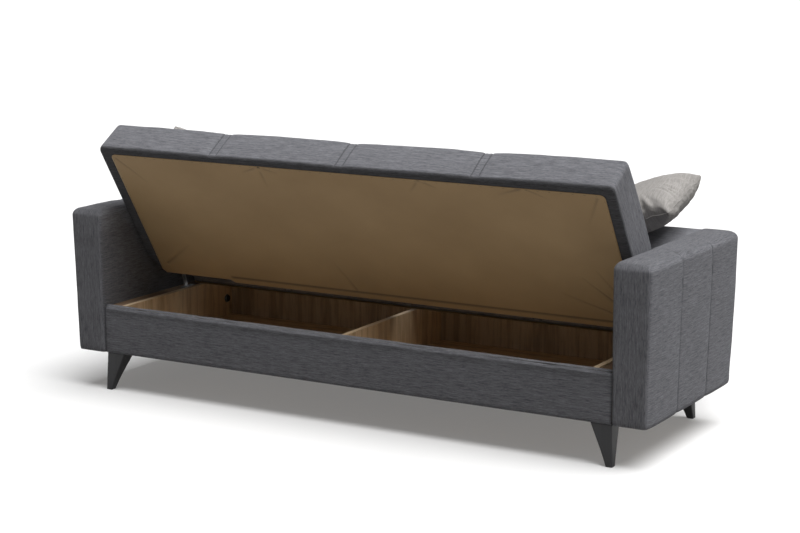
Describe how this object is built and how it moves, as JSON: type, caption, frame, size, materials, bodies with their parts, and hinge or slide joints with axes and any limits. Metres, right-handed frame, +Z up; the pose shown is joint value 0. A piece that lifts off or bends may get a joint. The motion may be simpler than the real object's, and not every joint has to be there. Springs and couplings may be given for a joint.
{
  "type": "sofa bed",
  "caption": "Upholstered click-clack sofa bed with the seat lifted over its bedding box and the backrest lowered, padded box arms, tapered legs and scatter cushions.",
  "frame": {"origin": "on the floor, under the middle of the whole part as it stands open", "axes": "+X along the sofa towards its right end as seen from the front, +Y from the front towards the rear, +Z up"},
  "size_m": [2.1518, 1.0318, 0.9074],
  "materials": {
    "black_cap": "black cap",
    "chipboard": "raw chipboard",
    "cushion_fabric": "light warm grey weave, matt",
    "edge_band": "light edge banding",
    "elastic_webbing": "woven elastic",
    "frame_timber": "sawn softwood",
    "leg_paint": "black stained beech, satin",
    "lining_fabric": "thin tan non-woven cloth, slightly glossy folds",
    "oak_laminate": "oak-look laminate on chipboard, satin",
    "oak_laminate_sheet": "oak-look laminated sheet, satin",
    "upholstery_fabric": "streaky woven slate grey, matt",
    "upholstery_foam": "polyurethane foam and wadding",
    "zinc_plate": "zinc-plated pressed steel",
    "zinc_steel": "zinc-plated steel"
  },
  "bodies": {
    "base": {"front_rail_board": "chipboard", "front_rail_cover": "upholstery_fabric", "rear_rail_board": "chipboard", "rear_rail_cover": "upholstery_fabric", "rear_rail_lining": "lining_fabric", "side_board_right": "oak_laminate", "side_board_left": "oak_laminate", "centre_divider": "oak_laminate", "edge_bands": "edge_band", "floor_panel_right": "oak_laminate_sheet", "floor_panel_left": "oak_laminate_sheet", "floor_battens": "frame_timber", "corner_post_front_right": "frame_timber", "corner_post_front_left": "frame_timber", "corner_post_rear_right": "frame_timber", "corner_post_rear_left": "frame_timber", "hinge_post_right": "frame_timber", "hinge_post_left": "frame_timber", "hinge_plank_right": "oak_laminate", "hinge_plank_left": "oak_laminate", "arm_frame_right": "frame_timber", "arm_frame_left": "frame_timber", "arm_foam_right": "upholstery_foam", "arm_foam_left": "upholstery_foam", "arm_cover_right": "upholstery_fabric", "arm_cover_left": "upholstery_fabric", "arm_bolts": "zinc_steel", "bolt_caps": "black_cap", "leg_front_right": "leg_paint", "leg_front_left": "leg_paint", "leg_rear_right": "leg_paint", "leg_rear_left": "leg_paint", "leg_bolts": "zinc_steel", "hinge_base_right": "zinc_plate", "hinge_base_left": "zinc_plate", "hinge_pin_right": "zinc_steel", "hinge_pin_left": "zinc_steel", "base_screws": "zinc_steel", "scatter_cushion_left": "cushion_fabric"},
    "seat": {"seat_frame": "frame_timber", "seat_webbing": "elastic_webbing", "seat_foam": "upholstery_foam", "seat_cover": "upholstery_fabric", "seat_lining": "lining_fabric", "seat_arm_screws": "zinc_steel", "seat_arm_right": "zinc_plate", "seat_arm_left": "zinc_plate", "ratchet_housing_right": "zinc_plate", "ratchet_housing_left": "zinc_plate"},
    "backrest": {"back_frame": "frame_timber", "back_webbing": "elastic_webbing", "back_foam": "upholstery_foam", "back_cover": "upholstery_fabric", "back_lining": "lining_fabric", "back_arm_screws": "zinc_steel", "back_arm_right": "zinc_plate", "back_arm_left": "zinc_plate", "scatter_cushion_right": "cushion_fabric"}
  },
  "joints": [
    {"name": "seat_lift", "type": "hinge", "parent": "base", "child": "seat", "pos_m": [0, -0.10788, 0.427], "axis": [1, 0, 0], "range_deg": [0, 57.7]},
    {"name": "backrest_recline", "type": "hinge", "parent": "base", "child": "backrest", "pos_m": [0, -0.10788, 0.427], "axis": [1, 0, 0], "range_deg": [-14.5, 50]}
  ]
}
